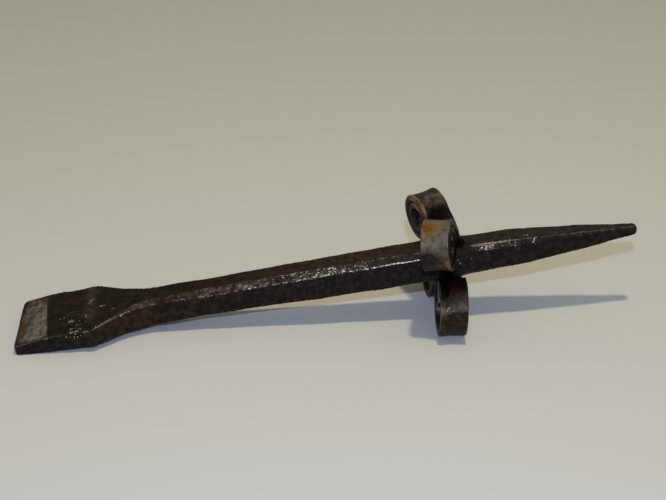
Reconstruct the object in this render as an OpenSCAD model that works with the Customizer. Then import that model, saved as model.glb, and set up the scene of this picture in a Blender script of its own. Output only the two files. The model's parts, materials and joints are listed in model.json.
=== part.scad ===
// Field scythe peening anvil: a forged bar with a broad steel-faced head at one end and a
// spike at the other, and two flat straps through one slot whose ends are rolled into four
// scrolls. It lies at rest on the edge of its head and its two lower scrolls. Millimetres.
// In the tool's own axes s runs from the working edge to the tip, w is across and t is up.

/* [Whole tool] */
// Length from the working edge to the tip of the spike
tool_len = 380; // [350:5:430]
// How far the bar rises toward its tip when the tool lies at rest, in degrees
rest_tilt = 7.65; // [6.8:0.05:8.6]

/* [Head] */
// Width of the head across its working edge
head_w = 52; // [44:1:60]
// Length of the head's parallel part, back to its shoulders
head_len = 47; // [40:1:52]
// Thickness of the head at its working edge
edge_t = 5.9; // [4.5:0.1:7]
// How far the middle of the working edge lies below the bar's axis
edge_drop = 0.35; // [0:0.05:0.8]
// Length of the bevel ground on the head's top face
bevel_len = 19.5; // [12:0.5:26]
// Thickness of the head where its bevel ends
bevel_t = 9.9; // [8.6:0.1:11]
// Thickness of the head at its shoulders
shoulder_t = 10.8; // [9.4:0.1:12.4]
// Radius of the front corner at the working edge, which is less worn
front_corner_r = 2.5; // [1.5:0.5:6]
// Radius of the back corner at the working edge
back_corner_r = 4; // [1.5:0.5:7]
// Radius of the shoulders where the head starts to narrow
shoulder_r = 6; // [3:0.5:9]
// Angle at which the shoulders run in to the neck, in degrees
flare_angle = 34; // [28:1:42]
// Radius of the hollow where the shoulders meet the neck
flare_r = 45; // [30:1:52]

/* [Steel bit] */
// How far the steel bit's weld line lies in front of the shoulders on the top face
weld_setback = 0.5; // [0:0.5:8]
// How much further back the slanting weld comes out on the underside
weld_slant = 2.5; // [1:0.5:6]

/* [Shank] */
// Side of the square neck behind the head
neck_w = 16.6; // [15:0.2:19]
// Length over which the neck stays even before the bar widens toward the slot
neck_len = 18; // [0:1:40]
// Distance of the slot for the straps from the working edge, at the straps' middle
collar_at = 264; // [245:1:285]
// Side of the square bar at the slot
collar_w = 21.6; // [20:0.2:24]
// Width of the flat on each arris at the slot, measured along one face
arris_leg = 3.5; // [2:0.1:4.5]
// Width of the flats away from the slot on the arrises that were hammered less
sharp_leg = 1.4; // [0.6:0.1:3.5]
// How far the bar's two sides bulge where the slot was punched
swell = 1.0; // [0:0.1:1.6]
// Half of the length over which they bulge
swell_reach = 16; // [13:1:22]
// Height of the slight bow in the hammered bar
bow_rise = 0.7; // [0:0.1:1.5]
// Distance of the top of the bow from the working edge
bow_top = 200; // [160:5:230]
// Distance from its top at which the bow has come back to the axis
bow_reach = 125; // [110:5:160]

/* [Spike] */
// Side of the spike at its root
spike_w = 19.4; // [17:0.2:20]
// Side of the spike at its blunt tip
tip_w = 4.8; // [3.5:0.1:7]
// How full the spike is along its length: 1 tapers straight, more is fuller
fullness = 1.52; // [1:0.02:1.8]
// Length of the rounded nose at the tip
nose_len = 2.6; // [1:0.1:5]

/* [Straps] */
// Width of both straps
strap_w = 16.4; // [13:0.2:18]
// Thickness of both straps
strap_t = 4; // [3:0.1:4.6]
// Space between the turns of a scroll
turn_gap = 0.4; // [0.2:0.1:0.8]
// Number of turns in each upper scroll, which is rolled tight
tight_turns = 2.1; // [1.6:0.1:2.3]
// Number of turns in each lower scroll, which is rolled open
open_turns = 1.1; // [1:0.05:1.5]
// Turns at full radius before a lower scroll's narrower arc starts
wide_turns = 0.75; // [0.65:0.05:0.8]
// How far a lower scroll creeps toward the spike in each turn
open_creep = 1.3; // [0:0.1:2]
// Radius to which a strap is bent where it leaves the slot, at its middle
bend_r = 6; // [4:0.5:8]
// Width of the flat hammered on the straps' edges
strap_edge = 0.7; // [0.3:0.1:1.2]
// How hollow the rolled straps are across their width, on the outside of the scrolls
dish = 0.6; // [0:0.1:1]
// Play of the two straps across the slot
slot_play = 0.2; // [0:0.1:0.6]
// Open end of the slot that the straps leave free on the side of the spike
slot_spare = 2.2; // [0.5:0.1:4]

/* [Front upper scroll] */
// Outer radius where the scroll starts
front_up_r = 16.8; // [15.2:0.1:17.4]
// Distance of its centre from the bar's middle plane
front_up_reach = 22.8; // [21.5:0.1:25]
// Height of its centre above the bar's axis
front_up_height = 21.2; // [20:0.1:24]
// Turn about the slot, in degrees
front_up_yaw = -17.8; // [-20:0.2:0]

/* [Back upper scroll] */
// Outer radius where the scroll starts
back_up_r = 16.4; // [15:0.1:17]
// Distance of its centre from the bar's middle plane
back_up_reach = 22.4; // [21.5:0.1:25]
// Height of its centre above the bar's axis
back_up_height = 19.8; // [19:0.1:24]
// Turn about the slot, in degrees
back_up_yaw = 19.4; // [0:0.2:22]

/* [Front lower scroll] */
// Outer radius where the scroll starts
front_low_r = 17.4; // [15:0.1:17.4]
// Distance of its centre from the bar's middle plane
front_low_reach = 22.4; // [22.3:0.1:25]
// Turn about the slot, in degrees
front_low_yaw = -3.4; // [-14:0.2:0]

/* [Back lower scroll] */
// Outer radius where the scroll starts
back_low_r = 15.8; // [15:0.1:17]
// Distance of its centre from the bar's middle plane
back_low_reach = 24.2; // [21.2:0.1:26]
// Turn about the slot, in degrees
back_low_yaw = 4.4; // [0:0.2:14]

/* [Hidden] */

// Steps in the drawing of curves
arc_steps = 8;
run_steps = 6;
swell_steps = 6;
spike_steps = 12;
turn_steps = 24;
lead_steps = 4;
bend_steps = 3;
// Larger than any section of the bar
clear_of = 100;
// The narrower flats widen over this ramp, which ends this far from the slot's middle
room_ramp = 20;
room_reach = 40;

bar_colour = [0.17, 0.15, 0.14];
bit_colour = [0.33, 0.31, 0.29];
front_strap_colour = [0.36, 0.33, 0.29];
back_strap_colour = [0.2, 0.17, 0.15];

function mix(a, b, share) = a + (b - a) * share;
function unit(v) = v / norm(v);
function backwards(list) = [for (i = [len(list) - 1:-1:0]) list[i]];

// A corner of an open path, [x, y, radius], drawn as an arc between its neighbours
function corner(before, here, after, r) =
    let (u = unit(before - here), v = unit(after - here))
    let (half = acos(u * v) / 2, middle = here + unit(u + v) * r / sin(half))
    let (start = here + u * r / tan(half) - middle)
    let (sweep = sign(u.y * v.x - u.x * v.y) * (180 - 2 * half))
    [for (i = [0:arc_steps]) let (a = sweep * i / arc_steps)
        middle + [start.x * cos(a) - start.y * sin(a), start.x * sin(a) + start.y * cos(a)]];

function xy(p) = [p.x, p.y];

// An open path of [x, y, radius] corners as plain points
function rounded(path) =
    [for (i = [0:len(path) - 1])
        each (i == 0 || i == len(path) - 1 || path[i].z == 0)
            ? [xy(path[i])]
            : corner(xy(path[i - 1]), xy(path[i]), xy(path[i + 1]), path[i].z)];

// The bar, in its own axes

// Where the shoulders' straight line would meet the neck, and where their hollow ends
flare_foot = head_len + (head_w - neck_w) / 2 / tan(flare_angle);
neck_at = flare_foot + flare_r * tan(flare_angle / 2);
// The neck stays even a little further, then the bar widens to the slot
taper_from = neck_at + neck_len;
// Length of the steel bit from the working edge to its weld line on the top face
bit_len = head_len - weld_setback;

// The lower halves of the straps slant toward the head, which sets them upright at rest.
// The slot lies round the straps and runs on a little toward the spike.
slot_from = collar_at - strap_w / 2 - collar_w / 2 * tan(rest_tilt) - slot_play;
slot_to = collar_at + strap_w / 2 + slot_spare;
slot_w = 2 * strap_t + slot_play;
spike_at = slot_to;

// Side of the square bar, or spike, at a place along it
function square_at(s) =
    s < taper_from ? neck_w
    : s < collar_at ? mix(neck_w, collar_w, (s - taper_from) / (collar_at - taper_from))
    : s < spike_at ? mix(collar_w, spike_w, (s - collar_at) / (spike_at - collar_at))
    : mix(spike_w, tip_w, pow((s - spike_at) / (tool_len - spike_at), fullness));

function swell_at(s) =
    abs(s - collar_at) < swell_reach ? swell * (1 + cos(180 * (s - collar_at) / swell_reach)) / 2 : 0;

// The flats on the arrises start at the neck, widen to the slot and shrink with the spike.
// Their widths on the bar and on the spike, for the even arrises at the top in front and
// the bottom behind, the one at the top behind and the one at the bottom in front. Round the
// slot all of them make room for the scrolls.
even_legs = [arris_leg, arris_leg];
back_legs = [arris_leg, sharp_leg];
low_legs = [sharp_leg, sharp_leg];
function room_at(s) = min(max((room_reach - abs(s - collar_at)) / room_ramp, 0), 1);
function arris_at(legs, s) =
    let (width = mix(s < collar_at ? legs[0] : legs[1], arris_leg, room_at(s)))
    s < neck_at ? 0
    : s < collar_at ? width * sqrt((s - neck_at) / (collar_at - neck_at))
    : width * square_at(s) / collar_w;

// Height of the bow at a place along the bar. Past its reach it lowers the tip.
function bow_at(s) = bow_rise * (1 - pow((s - bow_top) / bow_reach, 2));

stations = [
    for (i = [0:run_steps - 1]) mix(neck_at, collar_at - swell_reach, i / run_steps),
    for (i = [0:swell_steps]) mix(collar_at - swell_reach, collar_at + swell_reach, i / swell_steps),
    for (i = [1:spike_steps]) mix(collar_at + swell_reach, tool_len - nose_len, i / spike_steps)
];

// The nose goes on from the last station as a quarter of an ellipse, cut just short of a point
nose_angles = [15:15:75];
function nose(half, drop) =
    [for (a = nose_angles) [tool_len - nose_len * (1 - sin(a)), half * cos(a) + drop]];
nose_s = tool_len - nose_len;

// Half of the outline seen from above
function plan_half(corner_r) = concat(
    rounded([
        [0, 0, 0],
        [0, head_w / 2, corner_r],
        [head_len, head_w / 2, shoulder_r],
        [flare_foot, neck_w / 2, flare_r],
        [stations[1], square_at(stations[1]) / 2, 0]
    ]),
    [for (i = [2:len(stations) - 1]) let (s = stations[i]) [s, square_at(s) / 2 + swell_at(s)]],
    nose(square_at(nose_s) / 2, 0)
);

// The outline seen from the side: the top line for side 1 and the underside for side -1
function side_line(side) = concat(
    [
        [0, side * edge_t / 2 - edge_drop],
        [bevel_len, side * bevel_t / 2],
        [head_len, side * shoulder_t / 2],
        [flare_foot, side * neck_w / 2 + bow_at(flare_foot)]
    ],
    [for (s = stations) [s, side * square_at(s) / 2 + bow_at(s)]],
    nose(side * square_at(nose_s) / 2, bow_at(nose_s))
);

// The outline of the flats on the arrises, seen along them at 45 degrees. It is clear of
// the head and touches the bar's corners first where the neck begins.
function arris_half(legs, s) = (square_at(s) + swell_at(s) - arris_at(legs, s)) / sqrt(2);
head_diagonal = (head_w + shoulder_t) / 2 / sqrt(2) + 1;
function arris_line(legs, side) = concat(
    [[-1, side * head_diagonal], [head_len, side * head_diagonal]],
    [for (s = stations) [s, side * arris_half(legs, s) + bow_at(s) / sqrt(2)]],
    nose(side * arris_half(legs, nose_s), bow_at(nose_s) / sqrt(2))
);

side_outline = concat(side_line(1), backwards(side_line(-1)));
even_outline = concat(arris_line(even_legs, 1), backwards(arris_line(even_legs, -1)));
sharp_outline = concat(arris_line(back_legs, 1), backwards(arris_line(low_legs, -1)));
front_half = [for (p = backwards(plan_half(front_corner_r))) if (p.y > 0) [p.x, -p.y]];
plan_outline = concat(plan_half(back_corner_r), front_half);

// An outline drawn in s and t, as thick across as the whole tool is wide
module across() {
    rotate([90, 0, 0])
        linear_extrude(height = clear_of, center = true)
            children();
}

module bar() {
    intersection() {
        across() polygon(side_outline);
        linear_extrude(height = clear_of, center = true) polygon(plan_outline);
        rotate([45, 0, 0]) across() polygon(even_outline);
        rotate([-45, 0, 0]) across() polygon(sharp_outline);
    }
}

// All of the tool on the head's side of the weld
module bit_side() {
    slant = weld_slant / shoulder_t;
    far_below = bit_len + (clear_of + shoulder_t / 2) * slant;
    far_above = bit_len - (clear_of - shoulder_t / 2) * slant;
    across()
        polygon([[-1, -clear_of], [far_below, -clear_of], [far_above, clear_of], [-1, clear_of]]);
}

module strap_slot() {
    translate([slot_from, -slot_w / 2, -clear_of / 2])
        cube([slot_to - slot_from, slot_w, clear_of]);
}

// The straps, in the same axes

half_w = strap_w / 2;
half_t = strap_t / 2;

// Where the straps are clear of the bar above and below, measured from its axis. The slanting
// lower halves come out first at their edge toward the spike and last toward the head.
exit_up = collar_w / 2 + bow_at(collar_at);
exit_low = collar_w / 2 - bow_at(collar_at) + half_w * sin(rest_tilt);

// A strap's section: [along the bar, through the strap], hollow on its outer face
function face_points(side, hollow) =
    [for (k = [-1:0.5:1]) [k * (half_w - strap_edge), side * half_t + hollow * (1 - k * k)]];
function section(hollow) = concat(
    [[-half_w, strap_edge - half_t]],
    face_points(-1, hollow),
    [[half_w, strap_edge - half_t], [half_w, half_t - strap_edge]],
    backwards(face_points(1, hollow)),
    [[-half_w, half_t - strap_edge]]
);

// A scroll is [side, level, radius, reach, height, yaw, pitch, exit]: side is -1 in front
// and 1 behind, and level is 1 above the bar and -1 below it.
function mid_r(scroll) = scroll[2] - strap_t / 2;

// Direction of the straight stretch from the bend at the slot to the scroll, which is the
// line that touches both circles
function lead_angle(scroll) =
    let (to_centre = [scroll[3] - strap_t / 2 - bend_r, scroll[4] - scroll[7]])
    atan2(to_centre.y, to_centre.x) + asin((mid_r(scroll) - bend_r) / norm(to_centre));

function on_circle(centre, r, a) = centre + r * [cos(a), sin(a)];

// Middle line of a strap's half up to its curl, as [outward, away from the axis]: out of the
// slot, round the bend and straight to the scroll
function lead_path(scroll) =
    let (a = lead_angle(scroll) + 90, bend_centre = [strap_t / 2 + bend_r, scroll[7]])
    let (bend_end = on_circle(bend_centre, bend_r, a))
    let (touch = on_circle([scroll[3], scroll[4]], mid_r(scroll), a))
    concat(
        [[strap_t / 2, 0]],
        [for (i = [0:bend_steps]) on_circle(bend_centre, bend_r, mix(180, a, i / bend_steps))],
        [for (i = [1:lead_steps]) mix(bend_end, touch, i / lead_steps)]
    );

// A tight curl winds inward at a steady rate
function tight_curl(scroll) =
    [for (i = [1:round(tight_turns * turn_steps)]) let (turned = i / turn_steps)
        on_circle(
            [scroll[3], scroll[4]],
            mid_r(scroll) - (strap_t + turn_gap) * turned,
            lead_angle(scroll) + 90 - 360 * turned)];

// An open curl is a wide arc that runs over into a narrower one, which passes the strap
// inside with the same space between them
function open_curl(scroll) =
    let (start = lead_angle(scroll) + 90, centre = [scroll[3], scroll[4]])
    let (narrowing = (strap_t + turn_gap) / (1 - cos(360 * wide_turns)))
    let (inner_centre = on_circle(centre, narrowing, start - 360 * wide_turns))
    [for (i = [1:round(open_turns * turn_steps)]) let (turned = i / turn_steps)
        turned <= wide_turns
            ? on_circle(centre, mid_r(scroll), start - 360 * turned)
            : on_circle(inner_centre, mid_r(scroll) - narrowing, start - 360 * turned)];

// Puts a point of the straight, untwisted scroll in its place. The strap is pitched about
// the middle of the slot, and turned by a share that grows from the slot to the curl.
function placed(p, share, scroll) =
    let (yaw = scroll[5] * share, pitch = scroll[6], w = scroll[0] * p.y, t = scroll[1] * p.z)
    let (s = p.x * cos(pitch) - t * sin(pitch))
    [
        collar_at + s * cos(yaw) - w * sin(yaw),
        s * sin(yaw) + w * cos(yaw),
        p.x * sin(pitch) + t * cos(pitch)
    ];

// Every ring of a strap's half, from the middle of the slot to the eye of its scroll
function rings(scroll) =
    let (lead = lead_path(scroll), curl = scroll[1] > 0 ? tight_curl(scroll) : open_curl(scroll))
    let (path = concat(lead, curl), last = len(path) - 1)
    let (inner = strap_t / 2, outer = lead[len(lead) - 1].x)
    let (creep = scroll[1] > 0 ? 0 : open_creep / turn_steps)
    [for (i = [0:last])
        let (ahead = unit(path[min(i + 1, last)] - path[max(i - 1, 0)]), normal = [ahead.y, -ahead.x])
        let (share = i < len(lead) ? (path[i].x - inner) / (outer - inner) : 1)
        let (along = creep * max(i - len(lead) + 1, 0))
        [for (c = section(dish * share))
            placed([c.x + along, each (path[i] + c.y * normal)], share, scroll)]];

// Height above the ground once the tool lies at rest on the lower line of its working edge
function above_ground(p) = p.x * sin(rest_tilt) + (p.z + edge_t / 2 + edge_drop) * cos(rest_tilt);
function lowest(scroll) = min([for (ring = rings(scroll), p = ring) above_ground(p)]);

// A lower scroll is pitched so that it lies flat on the ground, and as high as it then sits
function flat_pitch(yaw) = -atan(cos(yaw) * tan(rest_tilt));
function low_scroll(side, r, reach, yaw, height, tries) =
    let (scroll = [side, -1, r, reach, height, yaw, flat_pitch(yaw), exit_low])
    tries == 0 ? scroll
    : low_scroll(side, r, reach, yaw, height + lowest(scroll) / cos(rest_tilt), tries - 1);

front_up = [-1, 1, front_up_r, front_up_reach, front_up_height, front_up_yaw, 0, exit_up];
back_up = [1, 1, back_up_r, back_up_reach, back_up_height, back_up_yaw, 0, exit_up];
front_low = low_scroll(-1, front_low_r, front_low_reach, front_low_yaw, front_up_height, 6);
back_low = low_scroll(1, back_low_r, back_low_reach, back_low_yaw, back_up_height, 6);

// One strap is swept from the eye of its upper scroll through the slot to the lower eye
function strap_rings(up, low) =
    let (upper = rings(up), lower = rings(low))
    concat(backwards(upper), [for (i = [1:len(lower) - 1]) lower[i]]);

module strap(up, low) {
    loops = strap_rings(up, low);
    n = len(loops[0]);
    last = len(loops) - 1;
    points = [for (ring = loops, p = ring) p];
    faces = concat(
        [[for (k = [n - 1:-1:0]) k]],
        [for (i = [0:last - 1], k = [0:n - 1])
            let (a = i * n + k, b = i * n + (k + 1) % n)
            each [[a, b, b + n], [a, b + n, a + n]]],
        [[for (k = [0:n - 1]) last * n + k]]
    );
    polyhedron(points, up[0] > 0 ? faces : [for (f = faces) backwards(f)]);
}

// The rest pose, with the origin under the middle of the tool's box

function at_rest(p) = [
    p.x * cos(rest_tilt) - p.z * sin(rest_tilt),
    p.y,
    above_ground(p)
];
strap_points = [
    for (scroll = [front_up, back_up, front_low, back_low], ring = rings(scroll), p = ring)
        at_rest(p)
];
bar_points = [for (p = side_outline) at_rest([p.x, 0, p.y])];
all_x = [for (p = concat(strap_points, bar_points)) p.x];
all_y = concat([for (p = strap_points) p.y], [head_w / 2, -head_w / 2]);
middle_x = (min(all_x) + max(all_x)) / 2;
middle_y = (min(all_y) + max(all_y)) / 2;
ground_z = above_ground([0, 0, 0]);

module rest_pose() {
    translate([-middle_x, -middle_y, ground_z])
        rotate([0, -rest_tilt, 0])
            children();
}

module shank() {
    color(bar_colour)
        rest_pose()
            difference() {
                bar();
                bit_side();
                strap_slot();
            }
}

module steel_bit() {
    color(bit_colour)
        rest_pose()
            intersection() {
                bar();
                bit_side();
            }
}

module front_strap() {
    color(front_strap_colour)
        rest_pose()
            strap(front_up, front_low);
}

module back_strap() {
    color(back_strap_colour)
        rest_pose()
            strap(back_up, back_low);
}

shank();
steel_bit();
front_strap();
back_strap();
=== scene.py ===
# Field scythe peening anvil: the looks of its forged bar, steel face and scrolled straps.
# Shapes are worked in the tool's own axes, in millimetres: s from the working edge toward
# the tip of the spike, w toward the back strap and t up.
import json
import math

import bmesh
import bpy
import numpy as np
from mathutils import Matrix, Vector, kdtree, noise


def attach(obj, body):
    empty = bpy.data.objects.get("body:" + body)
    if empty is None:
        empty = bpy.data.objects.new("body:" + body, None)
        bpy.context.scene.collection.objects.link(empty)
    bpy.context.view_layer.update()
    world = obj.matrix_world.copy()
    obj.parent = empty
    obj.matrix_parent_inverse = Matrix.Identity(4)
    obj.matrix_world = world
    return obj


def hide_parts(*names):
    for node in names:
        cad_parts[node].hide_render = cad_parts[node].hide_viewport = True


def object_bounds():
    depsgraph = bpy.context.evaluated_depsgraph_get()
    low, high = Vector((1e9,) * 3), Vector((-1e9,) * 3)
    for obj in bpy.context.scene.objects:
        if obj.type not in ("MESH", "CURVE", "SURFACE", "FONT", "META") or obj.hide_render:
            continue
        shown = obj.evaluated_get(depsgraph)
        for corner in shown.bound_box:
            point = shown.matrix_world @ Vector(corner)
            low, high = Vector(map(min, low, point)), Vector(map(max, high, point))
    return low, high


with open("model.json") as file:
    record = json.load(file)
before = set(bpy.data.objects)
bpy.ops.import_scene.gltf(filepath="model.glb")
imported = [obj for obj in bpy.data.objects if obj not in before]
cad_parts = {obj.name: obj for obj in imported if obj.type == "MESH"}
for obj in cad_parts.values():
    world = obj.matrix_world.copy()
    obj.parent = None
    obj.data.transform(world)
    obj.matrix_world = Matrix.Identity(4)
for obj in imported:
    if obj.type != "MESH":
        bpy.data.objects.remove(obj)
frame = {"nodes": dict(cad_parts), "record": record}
cad_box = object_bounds()

MM = 0.001
mounts = {mount["name"]: mount for mount in frame["record"]["mounts"]}
edge_place = Vector(mounts["working_edge"]["pos_m"])
tool_axis = Vector(mounts["ground_spike"]["axis"]).normalized()
tilt = math.atan2(tool_axis.z, tool_axis.x)
tool_turn = np.array(Matrix.Rotation(tilt, 3, "Y"))

# Places along the bar, from the working edge
bevel_end = 19.5
weld_at = 46.5
weld_slant = 2.5
head_t = 10.8
neck_at = 87
slot_from = 254.1
slot_to = 274.4
slot_half_w = 4.1

# Sizes of the meshes' faces, and the reach in which another layer of a roll is looked for
bar_voxel = 0.55
strap_levels = 2
layer_reach = 1.2


def in_tool_axes(points):
    """Points of the frame, in metres, as s, w and t in millimetres."""
    return (points - np.array(edge_place)) @ tool_turn.T / MM


def inside_cad(points):
    """Points kept inside the box of the CAD model."""
    return np.clip(points, np.array(cad_box[0]), np.array(cad_box[1]))


def rises(values, low, high):
    """0 below low and 1 above high, with a smooth rise between."""
    share = np.clip((values - low) / (high - low), 0, 1)
    return share * share * (3 - 2 * share)


def between(values, low, high, soft):
    """1 from low to high, falling to 0 over soft on both sides."""
    return rises(values, low - soft, low) * (1 - rises(values, high, high + soft))


def line(values, middle, width):
    """1 at the middle, fading over this width."""
    return np.exp(-((values - middle) / width) ** 2)


def patch(place, middle, reach):
    """1 at the middle of a patch, fading over its reach along s, w and t."""
    return np.exp(-(((place - np.array(middle)) / np.array(reach)) ** 2).sum(axis=1))


def streaks(place, ends, reach):
    """1 along the lines between these pairs of points, fading over this reach."""
    masks = []
    for start, end in ends:
        run = np.array(end) - start
        share = np.clip((place - start) @ run / (run @ run), 0, 1)
        away = np.linalg.norm(place - start - share[:, None] * run, axis=1)
        masks.append(np.exp(-(away / reach) ** 2))
    return np.maximum.reduce(masks)


def lumps(points, size, seed):
    """Smooth noise from about -1 to 1, with lumps of this size in millimetres."""
    shift = Vector((seed * 17.3, seed * 5.9, seed * 11.1))
    return np.array([noise.noise(Vector(p) / size + shift) for p in points.tolist()]) * 1.6


def front_flat(s):
    """Width of the hammered flat on the front top arris, measured along one face."""
    return np.interp(s, [50, 56, 72, 100, 116, 264, 380], [0.4, 0.8, 2.4, 2.7, 3.4, 3.5, 0.9])


def outermost(s, values):
    """The greatest of the values at each place along the bar, evened out over 5 mm."""
    steps = np.floor(s - s.min()).astype(int)
    most = np.full(steps.max() + 1, -np.inf)
    np.maximum.at(most, steps, values)
    padded = np.pad(most, 2, mode="edge")
    even = np.convolve(padded, np.full(5, 0.2), mode="valid")
    return np.interp(s - s.min(), np.arange(len(even)) + 0.5, even)


# Meshes


def mesh_arrays(mesh):
    """A mesh's points and normals as arrays."""
    points = np.zeros(len(mesh.vertices) * 3)
    normals = np.zeros(len(mesh.vertices) * 3)
    mesh.vertices.foreach_get("co", points)
    mesh.vertex_normals.foreach_get("vector", normals)
    return points.reshape(-1, 3), normals.reshape(-1, 3)


def set_points(mesh, points):
    mesh.vertices.foreach_set("co", points.ravel())
    mesh.update()


def set_attributes(mesh, values):
    """Each mask of the material, from 0 to 1 at each point."""
    for name, value in values.items():
        attribute = mesh.attributes.new(name, "FLOAT", "POINT")
        attribute.data.foreach_set("value", np.clip(value, 0, 1).astype(np.float32))


def spread(mesh, values, rounds):
    """Values evened out over each point's neighbours."""
    ends = np.zeros(len(mesh.edges) * 2, int)
    mesh.edges.foreach_get("vertices", ends)
    first, second = ends.reshape(-1, 2).T
    count = np.bincount(ends, minlength=len(mesh.vertices))
    flat = values.reshape(len(values), -1).astype(float)
    for _ in range(rounds):
        total = np.zeros_like(flat)
        np.add.at(total, first, flat[second])
        np.add.at(total, second, flat[first])
        flat = (flat + total / count[:, None]) / 2
    return flat.reshape(values.shape)


def smoothed(mesh, rounds):
    """The mesh's points without the steps of its faces, kept out where its edges were."""
    once = spread(mesh, mesh_arrays(mesh)[0], rounds)
    return 2 * once - spread(mesh, once, rounds)


def ridges(mesh, rounds):
    """How far each point stands out from its neighbours, in millimetres: above 0 on edges."""
    points, normals = mesh_arrays(mesh)
    return ((points - spread(mesh, points, rounds)) * normals).sum(axis=1) / MM


def crevice_shade(mesh):
    """1 beside the narrow gaps between the layers of a roll, where shade is painted."""
    points, normals = mesh_arrays(mesh)
    tree = kdtree.KDTree(len(points))
    places = points.tolist()
    for index, place in enumerate(places):
        tree.insert(place, index)
    tree.balance()
    faced = np.zeros(len(points))
    for index, place in enumerate(places):
        others = [found[1] for found in tree.find_range(place, layer_reach * MM)]
        faced[index] = (normals[others] @ normals[index]).min() < -0.5
    return np.clip(3 * spread(mesh, faced, 3), 0, 1)


def rounded_place(point):
    return tuple(round(c, 6) for c in point)


def merged_copy(nodes):
    """Copies of CAD nodes as one mesh, without the faces that they share."""
    places = [{rounded_place(v.co) for v in frame["nodes"][n].data.vertices} for n in nodes]
    shared = set.intersection(*places) if len(nodes) > 1 else set()
    body = bmesh.new()
    for name in nodes:
        body.from_mesh(frame["nodes"][name].data)
    inner = [f for f in body.faces if all(rounded_place(v.co) in shared for v in f.verts)]
    bmesh.ops.delete(body, geom=inner, context="FACES")
    bmesh.ops.remove_doubles(body, verts=body.verts, dist=0.002 * MM)
    bmesh.ops.recalc_face_normals(body, faces=body.faces)
    return body


def as_object(name, body):
    mesh = bpy.data.meshes.new(name)
    body.to_mesh(mesh)
    body.free()
    piece = bpy.data.objects.new(name, mesh)
    bpy.context.scene.collection.objects.link(piece)
    return piece


def bake_modifiers(piece):
    """Puts what the modifiers make into the mesh."""
    shown = piece.evaluated_get(bpy.context.evaluated_depsgraph_get())
    mesh = bpy.data.meshes.new_from_object(shown)
    piece.modifiers.clear()
    piece.data = mesh


def fit_cage(piece, rounds):
    """Moves a subdivided piece's own points until its surface passes where they were."""
    aim = mesh_arrays(piece.data)[0]
    for _ in range(rounds):
        bpy.context.view_layer.update()
        shown = piece.evaluated_get(bpy.context.evaluated_depsgraph_get())
        reached = mesh_arrays(shown.data)[0][:len(aim)]
        set_points(piece.data, mesh_arrays(piece.data)[0] + aim - reached)
    bpy.context.view_layer.update()


def finished(piece, node, material):
    """Smooth shading, the material, and the CAD node that the piece stands for."""
    piece.data.shade_smooth()
    piece.data.materials.clear()
    piece.data.materials.append(material)
    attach(piece, "root")
    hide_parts(node)
    return piece


# Nodes


def add(tree, kind, inputs=None, **settings):
    """A node with its settings, and with each named input set or joined."""
    made = tree.nodes.new(kind)
    for name, value in settings.items():
        setattr(made, name, value)
    for name, value in (inputs or {}).items():
        if isinstance(value, bpy.types.NodeSocket):
            tree.links.new(value, made.inputs[name])
        else:
            made.inputs[name].default_value = value
    return made


def colour(red, green, blue):
    return (red, green, blue, 1)


def blended(tree, share, under, over):
    """The colour under, covered by the colour over where share is 1."""
    made = add(tree, "ShaderNodeMix", {0: share, 6: under, 7: over}, data_type="RGBA")
    return made.outputs[2]


def multiplied(tree, painted, tint, share=1.0):
    inputs = {0: share, 6: painted, 7: tint}
    return add(tree, "ShaderNodeMix", inputs, data_type="RGBA", blend_type="MULTIPLY").outputs[2]


def darkened(tree, painted, grey):
    """A colour times a grey value."""
    greys = add(tree, "ShaderNodeCombineColor", {0: grey, 1: grey, 2: grey}).outputs[0]
    return multiplied(tree, painted, greys)


def tinged(tree, place, painted, strength):
    """A colour that drifts between reddish and olive."""
    share = ranged(tree, speckle(tree, place, 4.0, 2.0), 0.38, 0.62)
    return multiplied(tree, painted, blended(tree, share, reddish, olive), strength)


def ranged(tree, value, low, high, to_low=0.0, to_high=1.0):
    """A value's rise from low to high, as a smooth rise from to_low to to_high."""
    inputs = {"Value": value, "From Min": low, "From Max": high, "To Min": to_low, "To Max": to_high}
    return add(tree, "ShaderNodeMapRange", inputs, interpolation_type="SMOOTHSTEP").outputs[0]


def combined(tree, operation, first, second):
    return add(tree, "ShaderNodeMath", {0: first, 1: second}, operation=operation).outputs[0]


def speckle(tree, place, size, detail=2.0, roughness=0.5):
    """Noise from 0 to 1 with lumps of this size in millimetres."""
    inputs = {"Vector": place, "Scale": 1 / size, "Detail": detail, "Roughness": roughness}
    return add(tree, "ShaderNodeTexNoise", inputs).outputs["Fac"]


def new_group(name, inputs, outputs):
    """An empty group with its sockets, and its two ends."""
    tree = bpy.data.node_groups.new(name, "ShaderNodeTree")
    for socket, kind in inputs.items():
        tree.interface.new_socket(socket, in_out="INPUT", socket_type=kind)
    for socket, kind in outputs.items():
        tree.interface.new_socket(socket, in_out="OUTPUT", socket_type=kind)
    return tree, tree.nodes.new("NodeGroupInput"), tree.nodes.new("NodeGroupOutput")


VECTOR, NUMBER, COLOUR = "NodeSocketVector", "NodeSocketFloat", "NodeSocketColor"
reddish = colour(1.16, 0.94, 0.90)
olive = colour(0.90, 1.03, 0.88)


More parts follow.
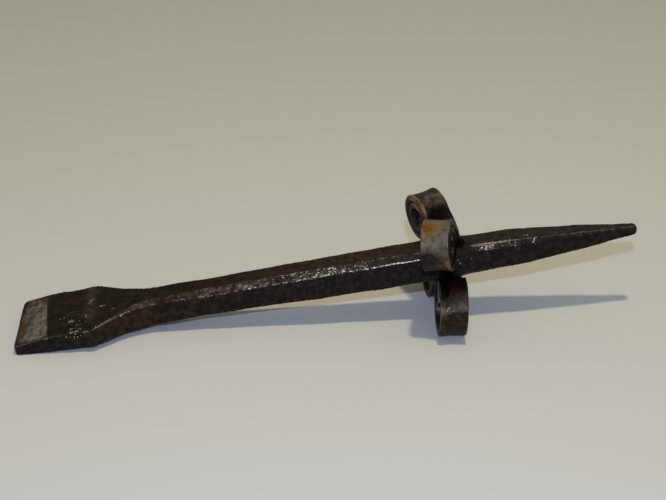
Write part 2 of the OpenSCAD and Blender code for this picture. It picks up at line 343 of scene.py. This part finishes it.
def broken_mask_group():
    """Breaks a soft mask up into ragged patches of grain. Half of a mask of 0.5 is covered,
    almost nothing of 0.4 and almost all of 0.6."""
    tree, given, out = new_group(
        "Broken Mask",
        {"Place": VECTOR, "Mask": NUMBER, "Grain": NUMBER, "Softness": NUMBER},
        {"Mask": NUMBER},
    )
    scale = combined(tree, "DIVIDE", 1.0, given.outputs["Grain"])
    inputs = {"Vector": given.outputs["Place"], "Scale": scale, "Detail": 3.0, "Roughness": 0.6}
    grain = add(tree, "ShaderNodeTexNoise", inputs).outputs["Fac"]
    level = combined(tree, "ADD", grain, ranged(tree, given.outputs["Mask"], 0.0, 1.0, -0.75, 0.75))
    low = combined(tree, "SUBTRACT", 0.5, given.outputs["Softness"])
    high = combined(tree, "ADD", 0.5, given.outputs["Softness"])
    tree.links.new(ranged(tree, level, low, high), out.inputs["Mask"])
    return tree


def fire_scale_group():
    """Scale from the forge fire: blue-black plates, brown where it has thinned, with pits."""
    tree, given, out = new_group(
        "Fire Scale",
        {"Place": VECTOR, "Browned": NUMBER, "Plate": COLOUR, "Brown": COLOUR, "Pit": COLOUR},
        {"Color": COLOUR, "Roughness": NUMBER, "Height": NUMBER},
    )
    place = given.outputs["Place"]
    broad = speckle(tree, place, 8.0, 3.0)
    patchy = speckle(tree, place, 3.4, 3.0)
    fine = speckle(tree, place, 0.8, 2.0)
    level = combined(tree, "ADD", combined(tree, "ADD", broad, patchy), given.outputs["Browned"])
    base = blended(tree, ranged(tree, level, 1.20, 1.80), given.outputs["Plate"], given.outputs["Brown"])
    base = tinged(tree, place, base, 0.9)
    base = darkened(tree, base, ranged(tree, patchy, 0.32, 0.68, 0.62, 1.48))
    base = darkened(tree, base, ranged(tree, fine, 0.3, 0.75, 0.88, 1.14))
    pits = ranged(tree, speckle(tree, place, 1.9, 2.0), 0.62, 0.74)
    tree.links.new(blended(tree, pits, base, given.outputs["Pit"]), out.inputs["Color"])
    satin = ranged(tree, patchy, 0.35, 0.7, 0.36, 0.50)
    rough = combined(tree, "ADD", satin, ranged(tree, pits, 0.0, 1.0, 0.0, 0.2))
    tree.links.new(rough, out.inputs["Roughness"])
    plates = ranged(tree, patchy, 0.2, 0.8, 0.0, 0.08)
    relief = combined(tree, "ADD", plates, ranged(tree, fine, 0.2, 0.8, 0.0, 0.03))
    sunk = ranged(tree, pits, 0.0, 1.0, 0.0, 0.08)
    tree.links.new(combined(tree, "SUBTRACT", relief, sunk), out.inputs["Height"])
    return tree


def worn_metal_group():
    """Bare iron that has been handled for years: clouds of three tones with a fine grain."""
    tree, given, out = new_group(
        "Worn Metal",
        {"Place": VECTOR, "Grey": COLOUR, "Tan": COLOUR, "Umber": COLOUR},
        {"Color": COLOUR},
    )
    across = {0: given.outputs["Place"], 1: (1.0, 0.7, 0.8)}
    place = add(tree, "ShaderNodeVectorMath", across, operation="MULTIPLY").outputs[0]
    aside = add(tree, "ShaderNodeVectorMath", {0: place, 1: (31.0, 17.0, 5.0)}, operation="ADD").outputs[0]
    tans = ranged(tree, speckle(tree, place, 4.0, 2.0, 0.55), 0.32, 0.68)
    umbers = ranged(tree, speckle(tree, aside, 3.0, 2.5, 0.55), 0.44, 0.72)
    base = blended(tree, tans, given.outputs["Grey"], given.outputs["Tan"])
    base = tinged(tree, aside, blended(tree, umbers, base, given.outputs["Umber"]), 0.35)
    grain = ranged(tree, speckle(tree, place, 0.7, 2.0), 0.3, 0.75, 0.82, 1.2)
    tree.links.new(darkened(tree, base, grain), out.inputs["Color"])
    return tree


def spatter_glints_group():
    """Single small bright dots, painted glints, more of them and larger where the mask is higher."""
    tree, given, out = new_group(
        "Spatter Glints", {"Place": VECTOR, "Mask": NUMBER, "Spacing": NUMBER}, {"Mask": NUMBER})
    scale = combined(tree, "DIVIDE", 1.0, given.outputs["Spacing"])
    place = given.outputs["Place"]
    bent = add(tree, "ShaderNodeTexNoise", {"Vector": place, "Scale": 0.9}).outputs["Color"]
    place = add(tree, "ShaderNodeVectorMath", {0: place, 1: bent}, operation="ADD").outputs[0]
    cells = add(tree, "ShaderNodeTexVoronoi", {"Vector": place, "Scale": scale})
    chance = add(tree, "ShaderNodeSeparateColor", {0: cells.outputs["Color"]}).outputs[0]
    level = combined(tree, "ADD", chance, given.outputs["Mask"])
    reach = ranged(tree, level, 0.85, 1.6, 0.0, 0.45)
    inner = combined(tree, "SUBTRACT", reach, cells.outputs["Distance"])
    tree.links.new(ranged(tree, inner, 0.0, 0.14), out.inputs["Mask"])
    return tree


broken_mask = broken_mask_group()
fire_scale = fire_scale_group()
worn_metal = worn_metal_group()
spatter_glints = spatter_glints_group()


def grouped(tree, group, inputs):
    """A group node with each named input set or joined."""
    made = tree.nodes.new("ShaderNodeGroup")
    made.node_tree = group
    for socket, value in inputs.items():
        if isinstance(value, bpy.types.NodeSocket):
            tree.links.new(value, made.inputs[socket])
        else:
            made.inputs[socket].default_value = value
    return made


def tool_place(tree):
    """Object coordinates as s, w and t in millimetres."""
    turned = tool_turn @ np.array(edge_place) / MM
    inputs = {
        "Vector": add(tree, "ShaderNodeTexCoord").outputs["Object"],
        "Location": tuple(-turned),
        "Rotation": (0, tilt, 0),
        "Scale": (1 / MM, 1 / MM, 1 / MM),
    }
    return add(tree, "ShaderNodeMapping", inputs, vector_type="POINT").outputs[0]


def marked(tree, name):
    """The mesh's own mask of this name."""
    return add(tree, "ShaderNodeAttribute", attribute_name=name, attribute_type="GEOMETRY").outputs["Fac"]


def broken(tree, place, name, grain, softness):
    """The mesh's own mask of this name, broken up into patches."""
    inputs = {"Place": place, "Mask": marked(tree, name), "Grain": grain, "Softness": softness}
    return grouped(tree, broken_mask, inputs).outputs[0]


def bright_marks_and_glints(tree, place):
    """Worn arrises, streaked along the bar, and single bright dots; they are partly worn bare metal and
    partly painted glints.
    """
    along = add(tree, "ShaderNodeVectorMath", {0: place, 1: (0.6, 1.0, 1.0)}, operation="MULTIPLY")
    streaks = broken(tree, along.outputs[0], "arris", 0.8, 0.10)
    dots = {"Place": place, "Mask": marked(tree, "glint_specks"), "Spacing": 1.2}
    marks = combined(tree, "MAXIMUM", streaks, grouped(tree, spatter_glints, dots).outputs[0])
    return combined(tree, "MULTIPLY", marks, ranged(tree, speckle(tree, place, 1.4), 0.35, 0.6, 0.4, 1.0))


def forged_iron(name, brown, worn, rusts, rim, softness, gloss):
    """Forged iron: fire scale, dark red and orange rust, bare worn metal, tan rims, bright arrises and
    specks that are partly painted glints, and soot and painted shade, each where the mesh's mask of that
    name says."""
    material = bpy.data.materials.new(name)
    material.use_nodes = True
    tree = material.node_tree
    tree.nodes.clear()
    place = tool_place(tree)
    inputs = {"Place": place, "Browned": marked(tree, "brown"), "Plate": blue_plate, "Brown": brown}
    scale = grouped(tree, fire_scale, {**inputs, "Pit": pit_black})
    painted = scale.outputs["Color"]
    painted = blended(tree, broken(tree, place, "red", 3.0, 0.4), painted, red_rust)
    bare = broken(tree, place, "bare", 2.4, softness)
    inputs = {"Place": place, "Grey": worn[0], "Tan": worn[1], "Umber": worn[2]}
    painted = blended(tree, bare, painted, grouped(tree, worn_metal, inputs).outputs[0])
    painted = blended(tree, broken(tree, place, "rim", 2.0, 0.3), painted, rim)
    rust = blended(tree, ranged(tree, speckle(tree, place, 2.2, 3.0), 0.4, 0.65), rusts[0], rusts[1])
    rusted = broken(tree, place, "rust", 2.6, 0.36)
    painted = blended(tree, rusted, painted, rust)
    # The darkening below is soot, and also painted shade in crevices, hollows, the mouth of the slot and
    # under the bar; the reflection is dulled there too
    soot = marked(tree, "soot")
    painted = darkened(tree, painted, ranged(tree, soot, 0.0, 1.0, 1.0, 0.15))
    # Bright marks: partly worn bare metal, partly painted glints
    shiny = bright_marks_and_glints(tree, place)
    painted = blended(tree, shiny, painted, bright_metal_and_glints)
    part_metal = ranged(tree, bare, 0.0, 1.0, 0.0, 0.25)
    metal = combined(tree, "MAXIMUM", part_metal, ranged(tree, shiny, 0.0, 1.0, 0.0, 0.45))
    polish = ranged(tree, shiny, 0.0, 1.0, 0.0, 0.10)
    dull = combined(tree, "MAXIMUM", rusted, soot)
    bumps = add(tree, "ShaderNodeBump", {"Distance": MM, "Height": scale.outputs["Height"]})
    inputs = {
        "Base Color": painted,
        "Metallic": combined(tree, "MULTIPLY", metal, ranged(tree, rusted, 0.0, 1.0, 1.0, 0.0)),
        "Roughness": combined(tree, "SUBTRACT", scale.outputs["Roughness"], polish),
        "Specular IOR Level": ranged(tree, dull, 0.0, 1.0, gloss, 0.2 * gloss),
        "Specular Tint": scale_tint,
        "Normal": bumps.outputs[0],
    }
    shader = add(tree, "ShaderNodeBsdfPrincipled", inputs)
    tree.links.new(shader.outputs[0], add(tree, "ShaderNodeOutputMaterial").inputs["Surface"])
    return material


pit_black = colour(0.003, 0.0025, 0.002)
blue_plate = colour(0.0136, 0.0112, 0.0104)
brown_scale = colour(0.025, 0.0160, 0.0092)
strap_brown = colour(0.024, 0.0175, 0.0105)
red_rust = colour(0.026, 0.0085, 0.0042)
bar_rusts = [colour(0.068, 0.036, 0.013), colour(0.092, 0.055, 0.022)]
strap_rusts = [colour(0.108, 0.043, 0.008), colour(0.138, 0.072, 0.012)]
bar_worn = [colour(0.190, 0.174, 0.148), colour(0.118, 0.095, 0.068), colour(0.048, 0.036, 0.026)]
strap_worn = [colour(0.145, 0.134, 0.112), colour(0.110, 0.085, 0.056), colour(0.070, 0.056, 0.042)]
rim_tan = colour(0.13, 0.105, 0.078)
strap_tan = colour(0.145, 0.095, 0.046)
# Worn bright metal, also the colour of the painted glints
bright_metal_and_glints = colour(0.60, 0.56, 0.44)
scale_tint = colour(0.85, 0.68, 0.52)
bar_iron = forged_iron("Forged Bar", brown_scale, bar_worn, bar_rusts, rim_tan, 0.28, 0.10)
face_steel = forged_iron("Steel Face", brown_scale, bar_worn, bar_rusts, rim_tan, 0.28, 0.10)
strap_iron = forged_iron("Strap Iron", strap_brown, strap_worn, strap_rusts, strap_tan, 0.40, 0.2)


# The bar and its steel face are one forging: they are worked together and parted at the weld


def hammer_bar(mesh):
    """Hammer marks, pits and chips, the groove and hump of the weld and the end of the bevel."""
    points, normals = mesh_arrays(mesh)
    place = in_tool_axes(points)
    facing = normals @ tool_turn.T
    s, w, t = place.T
    over = front_flat(s) - (outermost(s, t) - t) - (w + outermost(s, -w))
    flattened = np.clip(over, 0, None) * (s > 50) * (s < 250) / 2 * MM
    points = points + flattened[:, None] * (np.array([0, 1, -1]) @ tool_turn)
    top = rises(facing[:, 2], 0.4, 0.8)
    corner = np.minimum(abs(facing[:, 1]), abs(facing[:, 2]))
    chamfer = rises(corner, 0.34, 0.52) * rises(s, 95, 125)
    hammered = 0.30 * lumps(place, 18, 1) + 0.10 * lumps(place, 7, 2) + 0.04 * lumps(place, 2.6, 3)
    pits = -0.14 * rises(lumps(place, 3.4, 4), 0.55, 1.0)
    chipped = chamfer * (0.10 * lumps(place, 2.2, 5) + 0.08 * lumps(place, 1.2, 6))
    slag = patch(place, (37, -18, 5), (8, 10, 4)) * 0.22 * lumps(place, 1.8, 9)
    seam = weld_at + weld_slant * (head_t / 2 - t) / head_t + 0.8 * lumps(place, 9, 7)
    groove = -(0.35 - 0.25 * top) * line(s, seam, 0.7) + 0.3 * line(s, seam - 3, 2.2)
    hump = 0.5 * line(s, bevel_end + 6, 2.6) * top
    calm = 1 - 0.6 * between(s, 1, bevel_end - 2, 2) * top
    inside_slot = between(s, slot_from, slot_to, 0.5) * (1 - rises(abs(w), slot_half_w, slot_half_w + 0.5))
    depth = (hammered + pits + chipped + slag) * calm + groove + hump
    depth = depth * (1 - inside_slot) * rises(s, -1, 1.5)
    set_points(mesh, inside_cad(points + normals * (depth * MM)[:, None]))


# Raised scabs on the head, as s, w and t: one at its front edge, and a few along the weld
scab_from = (31.7, -26, 4)
scab_middle = (35, -24.6, 5.6)
scab_to = (39.2, -23.6, 5.6)
weld_scabs = [((42.8, 5.1, 5.7), (44.9, 9, 5.7)), ((42.2, -7, 5.7), (43, -11, 5.7))]
pale_scab = [((30.4, -4.5, 5.5), (33.6, 0.2, 5.5))]


def mark_bar(mesh):
    """Where the bar is worn, rusted, bright and sooty; its bright marks are partly painted glints, and
    shade is painted in the mouth of the slot.
    """
    points, normals = mesh_arrays(mesh)
    place = in_tool_axes(points)
    facing = normals @ tool_turn.T
    s, w, t = place.T
    edge = rises(ridges(mesh, 5), 0.04, 0.13)
    front_edge = edge * (w < 0) * (t > 0)
    top = rises(facing[:, 2], 0.5, 0.8)
    side = 1 - rises(abs(facing[:, 2]), 0.3, 0.7)
    corner = rises(np.minimum(abs(facing[:, 1]), abs(facing[:, 2])), 0.30, 0.5)
    blotch = lumps(place, 7, 8)
    fine = lumps(place, 3, 10)
    shaft = rises(s, 96, 112) * (1 - rises(s, 248, 254))
    spike = rises(s, 274, 282)
    flare = between(s, 54, 80, 8)
    bevel_to = 18 - 0.11 * w
    bevel = between(s, 0.6, bevel_to - 0.4, 0.6) * top
    bare = bevel * (0.54 + 0.10 * blotch + 0.06 * fine + 0.4 * patch(place, (16.5, -8, 5), (3.5, 15, 5)))
    bare -= bevel * (0.12 * rises(w, 13, 22) + 0.16 * rises(-w, 20, 25) + 0.2 * rises(4 - s, 0, 3))
    halo = between(s, bevel_to - 1, bevel_to + 2, 1.5) * rises(w, -8, 6) * top
    rust = 0.80 * patch(place, (2.5, -8, 3.2), (5, 14, 4)) + 0.46 * patch(place, (7, 19, 4), (10, 4, 4))
    rust += 0.40 * patch(place, (42.5, -22, 5.6), (3.5, 3, 4)) + 0.30 * halo
    rim = front_edge * (0.54 * between(s, -1, 20, 3) + 0.44 * between(s, 20, 31, 2))
    rim += front_edge * 0.58 * between(s, 43, 60, 4)
    streak = 44.8 - 0.10 * np.clip(w + 10, -12, 4) + 0.8 * lumps(place, 9, 7)
    streak_share = line(s, streak, 2.8) * rises(w, -20, -12)
    rim += (0.34 + 0.10 * fine) * streak_share * top

    # The flat on the front arris is rusty near the head, then speckled along both of its edges, partly
    # with painted glints
    under_top = outermost(s, t) - t
    behind_front = outermost(s, -w) + w
    leg = front_flat(s)
    row_width = 0.55 + 0.25 * rises(s, 75, 110)
    low_row = line(under_top, leg, row_width) * (1 - rises(behind_front, 0.8, 1.8))
    high_row = line(behind_front, leg, 0.8) * (1 - rises(under_top, 0.8, 1.8))
    flat = (1 - rises(under_top + behind_front, leg + 0.6, leg + 1.8)) * (t > 0) * (w < 0)
    patchy = 0.02 * blotch + 0.03 * fine
    near_slot = rises(s, 200, 225)
    arris = shaft * rises(s, 80, 112) * np.maximum.reduce([
        low_row * (0.47 + patchy + 0.09 * near_slot + 0.03 * line(s, 180, 25)),
        high_row * (0.42 + patchy + 0.04 * line(s, 180, 25)),
        flat * (0.41 + patchy + 0.06 * line(s, 190, 30) - 0.10 * rises(s, 216, 238)),
    ])
    arris += (0.44 + patchy) * flat * between(s, 281, 304, 6)
    arris += 0.38 * corner * (t < 0) * shaft + 0.37 * corner * (t > 0) * (w > 0) * shaft
    arris += (0.42 + patchy) * low_row * between(s, 60, 100, 8)
    rim += np.maximum.reduce([
        (0.42 + 0.10 * fine) * flat * between(s, 72, 150, 14),
        (0.60 + 0.16 * fine) * low_row * between(s, 52, 84, 6),
        (0.47 + 0.10 * fine) * high_row * shaft,
    ])
    rim += (0.50 + 0.08 * fine) * high_row * spike + 0.26 * flat * between(s, 276, 296, 6)
    # A bright line along the scab at the head's front edge, partly a painted glint
    arris += (0.58 + 0.06 * fine) * streaks(place, [(scab_from, scab_middle), (scab_middle, scab_to)], 1.0)
    rim += 0.43 * streaks(place, weld_scabs, 0.8) + 0.56 * streaks(place, pale_scab, 0.8)
    # Single bright dots, painted glints: the spatter near the weld, a few on the neck, near the slot and
    # on the spike
    glint_specks = 0.50 * patch(place, (37, -18, 5.6), (8, 9, 4)) + 0.3 * patch(place, (34, -24, 5.6), (4, 4, 4))
    glint_specks += 0.8 * patch(place, (33.8, -11, 5.5), (4, 1.6, 2))
    glint_specks += 0.8 * patch(place, (38, -26, 3), (1.6, 2, 3))
    glint_specks += 0.7 * patch(place, (43.5, -24, 5.7), (2.5, 1.5, 2))
    glint_specks += 0.22 * patch(place, (55, -6, 6), (14, 12, 5))
    glint_specks += 0.6 * patch(place, (270, -12, 2), (9, 4, 9)) + 0.4 * patch(place, (312, -7, 6), (14, 4, 5))
    dot_places = [(43.8, 8, 5.7), (52, 0, 6.3), (59.4, -7.3, 7), (49.4, -23, 6), (64.4, -14.4, 6)]
    dot_places += [(70.3, -11.6, 6), (311.4, -2, 8.7), (316.3, -7.2, 6.5), (28.2, -7.2, 5.4)]
    glint_specks += sum(0.9 * patch(place, middle, (1.6, 1.6, 1.6)) for middle in dot_places)
    red = flare * side * (0.24 + 0.10 * blotch) + top * (0.22 + 0.16 * blotch) * (1 - rises(s, 90, 200))
    sooty_top = 0.58 * rises(s, bevel_to - 1, bevel_to + 1) - 0.30 * rises(s, 100, 210) - 0.13 * spike
    sooty_top -= (0.46 + 0.12 * fine) * streak_share + 0.08 * blotch
    sooty_bevel = bevel * 0.38 * rises(13 - s, -3, 7)
    # Painted shade in the open mouth of the slot, where the straps leave the top of the bar
    slot_mouth_shade = 0.9 * patch(place, (269, -4, 11.5), (6, 6, 4))
    warm_side = 0.42 * side * between(s, 52, 75, 14) + 0.2 * side * between(s, 75, 110, 40)
    greyed = 0.4 * flat * near_slot + 0.32 * spike - 0.3 * flat * between(s, 66, 120, 20)
    set_attributes(mesh, {
        "brown": 0.32 + 0.42 * top + warm_side - 0.15 * side - greyed + 0.1 * blotch,
        "arris": arris,
        "bare": bare,
        "rust": rust,
        "rim": rim,
        "red": red,
        "glint_specks": glint_specks,
        "soot": top * sooty_top * (1 - 0.4 * flat) + sooty_bevel + 0.08 * side + slot_mouth_shade,
    })


def parted(piece, name, keep_head):
    """One side of the weld, closed where it was cut."""
    body = bmesh.new()
    body.from_mesh(piece.data)
    tool_up = Vector((-tool_axis.z, 0, tool_axis.x))
    geometry = body.verts[:] + body.edges[:] + body.faces[:]
    cut = bmesh.ops.bisect_plane(
        body,
        geom=geometry,
        dist=1e-7,
        plane_co=edge_place + tool_axis * (weld_at + weld_slant / 2) * MM,
        plane_no=tool_axis + tool_up * (weld_slant / head_t),
        clear_outer=keep_head,
        clear_inner=not keep_head,
    )
    rim = [e for e in cut["geom_cut"] if isinstance(e, bmesh.types.BMEdge)]
    bmesh.ops.contextual_create(body, geom=rim)
    bmesh.ops.triangulate(body, faces=[f for f in body.faces if len(f.verts) > 4])
    return as_object(name, body)


bar = as_object("bar blank", merged_copy(["shank", "steel_bit"]))
remesh = bar.modifiers.new("even faces", "REMESH")
remesh.mode = "VOXEL"
remesh.voxel_size = bar_voxel * MM
bake_modifiers(bar)
set_points(bar.data, smoothed(bar.data, 2))
hammer_bar(bar.data)
mark_bar(bar.data)
finished(parted(bar, "forged_shank", False), "shank", bar_iron)
finished(parted(bar, "forged_face", True), "steel_bit", face_steel)
bpy.data.objects.remove(bar)


# The straps


def hammer_strap(mesh, seed):
    points, normals = mesh_arrays(mesh)
    place = in_tool_axes(points)
    hammered = 0.12 * lumps(place, 10, seed) + 0.05 * lumps(place, 3.6, seed + 1)
    nicks = -0.08 * rises(lumps(place, 2.4, seed + 5), 0.6, 1.0)
    set_points(mesh, inside_cad(points + normals * ((hammered + nicks) * MM)[:, None]))


def patched(place, patches):
    """All the patches of one list together."""
    return sum((strength * patch(place, middle, reach) for middle, reach, strength in patches), 0)


def mark_strap(mesh, seed, worn, rusty, reddened, tanned, silvered, sooty):
    """Wear on the edges, and the patches named for this strap; painted glints and painted shade are among
    them.
    """
    points, normals = mesh_arrays(mesh)
    place = in_tool_axes(points)
    edge = rises(ridges(mesh, 3), 0.03, 0.09)
    blotch = lumps(place, 8, seed + 2)
    fine = lumps(place, 3.2, seed + 6)
    disc = rises(abs((normals @ tool_turn.T)[:, 0]), 0.6, 0.9) * rises(place[:, 2], 0, 15)
    set_attributes(mesh, {
        "brown": 0.42 + 0.2 * blotch + 0.5 * disc,
        # Bright strap edges: partly worn metal, partly painted glints
        "arris": edge * (0.30 + 0.06 * blotch),
        "bare": 0.12 + 0.10 * blotch + patched(place, worn) * (1 + 0.15 * fine) - 0.35 * disc,
        "rust": 0.12 + 0.12 * lumps(place, 10, seed + 3) + patched(place, rusty) * (1 + 0.2 * fine),
        "rim": edge * (0.46 + 0.12 * blotch) + patched(place, tanned) * (1 + 0.15 * fine),
        "red": 0.15 + 0.15 * lumps(place, 7, seed + 4) + patched(place, reddened) + 0.34 * disc,
        # Bright dots, and the listed patches of painted glints
        "glint_specks": 0.2 * rises(blotch, 0.2, 0.8) + patched(place, silvered),
        # Darker: a little soot all over, the flat ends of the upper rolls, painted shade in the crevices
        # between turns, and the listed patches
        "soot": 0.10 + patched(place, sooty) + 0.50 * disc + crevice_shade(mesh),
    })


def strap(node, seed, **patches):
    body = merged_copy([node])
    flat = math.pi
    bmesh.ops.join_triangles(body, faces=body.faces, angle_face_threshold=flat, angle_shape_threshold=flat)
    piece = as_object("forged_" + node, body)
    smooth = piece.modifiers.new("rounded", "SUBSURF")
    smooth.levels = strap_levels
    smooth.render_levels = strap_levels
    fit_cage(piece, 3)
    bake_modifiers(piece)
    hammer_strap(piece.data, seed)
    mark_strap(piece.data, seed, **patches)
    return finished(piece, node, strap_iron)


# Patches as middle, reach and strength
strap(
    "front_strap",
    20,
    worn=[
        ((256, -31, 31), (17, 18, 15), 0.66),
        ((249, -37, 20), (6, 7, 6), -0.42),
        # Painted highlight: the bright grey band across the front of the lower roll
        ((258, -33, -13.5), (20, 10, 3.5), 0.56),
        ((254, -12, -19), (3, 6, 12), 0.50),
    ],
    rusty=[
        ((250.5, -24.5, 36.2), (5.5, 7, 5), 0.50),
        ((256, -25, 37), (6, 9, 6), 0.14),
        ((261, -38, 16), (3.5, 5, 4), 0.30),
        ((248.5, -36, 28), (2.5, 6, 9), 0.30),
        ((252.5, -37, -24), (2.5, 4, 8), 0.30),
    ],
    reddened=[
        ((264, -18, -5), (14, 10, 5), 0.6),
        ((256, -29, -6), (7, 6, 5), 0.6),
    ],
    tanned=[
        ((257, -22, 37), (12, 10, 5), 0.70),
        ((261, -37, 18), (4.5, 6, 5), 0.85),
        ((266, -22, 26), (2.5, 8, 9), -0.7),
        ((252.5, -36, -20), (2, 4, 12), 0.22),
        ((254, -12, -19), (3, 6, 12), 0.25),
        ((264, -31, -9.5), (10, 4, 2.0), 0.20),
    ],
    # Painted glints in the highlight bands of the lower and the upper front roll
    silvered=[
        ((258, -34, -13), (12, 6, 3.5), 0.75),
        ((254, -33, 29), (7, 6, 5), 0.45),
    ],
    sooty=[
        # Painted shadow of the bar and the upper roll on the top of the lower roll
        ((263, -20, -3), (16, 16, 6.5), 0.85),
        ((262, -27, -6), (14, 8, 4.5), 0.55),
        ((262, -33, -28), (14, 10, 7), 0.20),
        ((250, -36, 21), (6, 8, 6), 0.25),
        # Painted shade in the eye of the upper roll
        ((266.5, -22, 25), (3.5, 10, 11), 0.70),
    ],
)
strap(
    "back_strap",
    30,
    worn=[
        ((262, 16, 36), (8, 6, 3), 0.38),
        ((256, 10, 33), (2, 8, 8), 0.20),
    ],
    rusty=[
        ((249.8, 14.5, 33.8), (2.4, 4, 4), 0.48),
        ((251.8, 9.5, 31.2), (2.4, 4, 4), 0.34),
        ((254, 13, 35), (3, 6, 3), 0.22),
    ],
    reddened=[
        ((250, 22, -30), (8, 12, 10), 0.7),
        ((250, 20, 22), (6, 8, 8), 0.35),
    ],
    tanned=[
        ((263, 18, 35), (8, 5, 3), 0.50),
        ((247.3, 21.5, 33.8), (2.5, 6, 3.5), 0.70),
        ((249.8, 14.5, 33.5), (3, 6, 4), 0.50),
        ((252.5, 8, 30), (2.8, 5, 5), 0.66),
        ((248.5, 17, 31), (3, 6, 3.5), 0.50),
        ((250.5, 11, 29), (3, 5, 4), 0.50),
    ],
    silvered=[],
    sooty=[
        ((249.5, 14.5, 33.5), (3, 9, 5), -0.60),
        ((252.5, 8, 30), (2.8, 5, 5), -0.50),
        ((248.5, 17, 31), (3, 6, 3.5), -0.35),
        # Painted shade low on the back upper roll, between it and the front roll
        ((261, 7, 26.5), (10, 8, 6.5), 0.95),
        # Painted shade in the hollow of the back lower roll
        ((250, 20, -30), (8, 14, 8), 0.3),
    ],
)


# The camera stands as the photographer did

camera_lens = 70.49
camera_down = math.radians(29.16)
camera_round = math.radians(4.35)
camera_roll = math.radians(0.44)
camera_away = 0.78449
looked_at = Vector((0.0031, edge_place.y, 0.04742))


def stand_camera():
    ahead = Vector((
        math.sin(camera_round) * math.cos(camera_down),
        math.cos(camera_round) * math.cos(camera_down),
        -math.sin(camera_down),
    ))
    level_right = ahead.cross(Vector((0, 0, 1))).normalized()
    level_up = level_right.cross(ahead)
    right = level_right * math.cos(camera_roll) - level_up * math.sin(camera_roll)
    up = level_right * math.sin(camera_roll) + level_up * math.cos(camera_roll)
    camera = bpy.data.objects.new("Camera", bpy.data.cameras.new("Camera"))
    bpy.context.scene.collection.objects.link(camera)
    camera.data.sensor_width = 36
    camera.data.lens = camera_lens
    camera.data.clip_start = 0.01
    turn = Matrix((right, up, -ahead)).transposed().to_4x4()
    camera.matrix_world = Matrix.Translation(looked_at - ahead * camera_away) @ turn
    bpy.context.scene.camera = camera


# Floor, lamps and world


def pale_cloth():
    cloth = bpy.data.materials.new("Pale Floor")
    cloth.use_nodes = True
    shader = cloth.node_tree.nodes["Principled BSDF"]
    shader.inputs["Base Color"].default_value = colour(0.535, 0.521, 0.461)
    shader.inputs["Roughness"].default_value = 0.9
    shader.inputs["Specular IOR Level"].default_value = 0.1
    return cloth


def lay_floor():
    body = bmesh.new()
    bmesh.ops.create_grid(body, x_segments=1, y_segments=1, size=3)
    floor = as_object("floor", body)
    floor.data.materials.append(pale_cloth())


def lamp(name, place, size, power, tint):
    data = bpy.data.lights.new(name, "AREA")
    data.shape = "DISK"
    data.size = size
    data.energy = power
    data.color = tint
    made = bpy.data.objects.new(name, data)
    made.location = place
    made.rotation_euler = (looked_at - Vector(place)).to_track_quat("-Z", "Y").to_euler()
    bpy.context.scene.collection.objects.link(made)


def soft_room():
    world = bpy.data.worlds.new("Soft Room")
    world.use_nodes = True
    background = world.node_tree.nodes["Background"]
    background.inputs["Color"].default_value = colour(0.94, 1.0, 0.89)
    background.inputs["Strength"].default_value = 0.315
    bpy.context.scene.world = world


stand_camera()
lay_floor()
lamp("lamp over the camera", (-0.0455, -0.683, 0.56), 0.025, 4.35, (0.52, 0.61, 1.0))
lamp("overhead lamp", (0.14, -0.19, 1.6), 0.10, 12.2, (1.0, 0.88, 0.65))
soft_room()
bpy.context.scene.view_settings.view_transform = "Standard"
